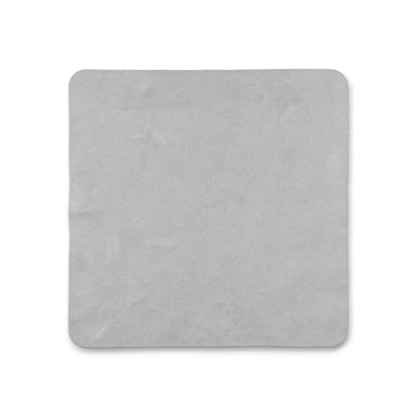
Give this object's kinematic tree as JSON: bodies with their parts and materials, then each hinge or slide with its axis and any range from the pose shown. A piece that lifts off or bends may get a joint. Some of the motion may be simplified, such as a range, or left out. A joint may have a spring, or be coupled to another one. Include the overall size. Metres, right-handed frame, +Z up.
{
  "type": "microfiber cloth",
  "caption": "Square suede microfiber polishing cloth with rounded corners, lying flat: napped plies bonded back to back inside a sealed rim, for wiping screens and lenses.",
  "frame": {"origin": "middle of the cloth's underside, on the surface it lies on", "axes": "+Z up through the thickness, out of the face nap; +X to the right and +Y away from the viewer, as pictured"},
  "size_m": [0.16, 0.16, 0.0015],
  "materials": {
    "suede_nap": "light grey brushed suede nap, matte, with a soft sheen and faint brush marks",
    "knit_ground": "fine grey warp knit, matte",
    "hot_melt_web": "thin cream hot-melt adhesive web, satin",
    "sealed_fibre": "fused grey fibre, satin, slightly darker than the nap"
  },
  "bodies": {
    "root": {"back_nap": "suede_nap", "back_ground": "knit_ground", "bonding_web": "hot_melt_web", "face_ground": "knit_ground", "face_nap": "suede_nap", "sealed_rim": "sealed_fibre"}
  },
  "joints": []
}
